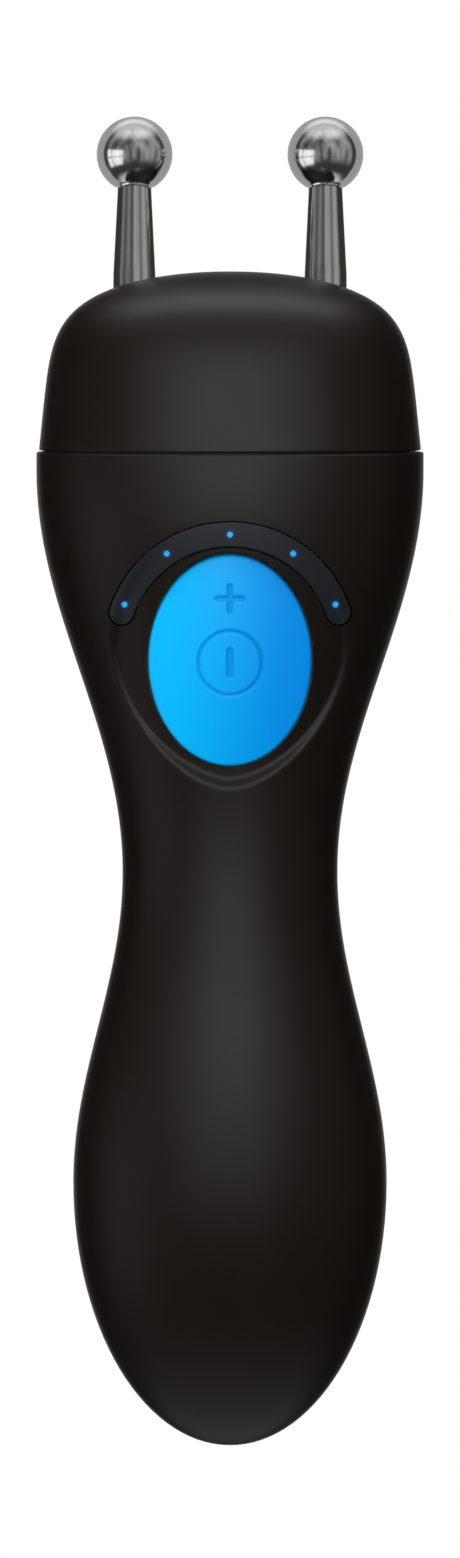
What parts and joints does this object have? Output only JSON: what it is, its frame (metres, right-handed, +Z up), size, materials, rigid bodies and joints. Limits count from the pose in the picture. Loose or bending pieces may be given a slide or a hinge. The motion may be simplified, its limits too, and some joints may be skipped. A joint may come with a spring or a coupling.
{
  "type": "facial toning device",
  "caption": "Hand-held facial toning wand: curved black grip with domed head, oval blue button under an arc of lights, and paired ball-ended metal probes.",
  "frame": {"origin": "centre of the waist, on the centre of the front view", "axes": "+Z up along the body towards the probes, -Y out of the button's face, +X to the right seen from the front"},
  "size_m": [0.05, 0.0396, 0.1721],
  "materials": {
    "soft_black": "soft-touch matt",
    "seal_rubber": "matt",
    "blue_button": "satin",
    "ivory_plastic": "matt",
    "dark_plastic": "matt",
    "smoked_window": "satin",
    "clear_guide": "clear",
    "led_white": "clear",
    "board_green": "solder mask",
    "wound_copper": "varnished",
    "capacitor_sleeve": "sleeve",
    "cell_jacket": "satin",
    "plated_steel": "plated",
    "lead_jacket": "matt",
    "probe_chrome": "polished",
    "terminal_brass": "plated"
  },
  "bodies": {
    "housing": {"front_shell": "soft_black", "rear_shell": "soft_black", "head_cap": "soft_black", "seam_gasket": "seal_rubber", "probe_seals": "seal_rubber", "switch_body": "dark_plastic", "indicator_window": "smoked_window", "light_guides": "clear_guide", "leds": "led_white", "circuit_board": "board_green", "controller_chip": "dark_plastic", "transformer": "wound_copper", "capacitors": "capacitor_sleeve", "buzzer": "dark_plastic", "battery_tray": "dark_plastic", "cell_left": "cell_jacket", "cell_right": "cell_jacket", "battery_springs": "plated_steel", "contact_plates": "plated_steel", "battery_leads": "lead_jacket", "probe_leads": "lead_jacket", "probe_ball_left": "probe_chrome", "probe_ball_right": "probe_chrome", "probe_stem_left": "probe_chrome", "probe_stem_right": "probe_chrome", "ring_terminals": "terminal_brass", "probe_nuts": "plated_steel", "board_screws": "plated_steel", "shell_screws": "plated_steel"},
    "power_button": {"button_cap": "blue_button", "switch_plunger": "ivory_plastic"},
    "battery_cover": {"battery_cover": "soft_black"}
  },
  "joints": [
    {"name": "button_press", "type": "slide", "parent": "housing", "child": "power_button", "axis": [0, 1, 0], "range_m": [0, 0.0005], "stiffness_N_per_m": 2500},
    {"name": "cover_slide", "type": "slide", "parent": "housing", "child": "battery_cover", "axis": [0, 0, -1], "range_m": [0, 0.06]}
  ]
}
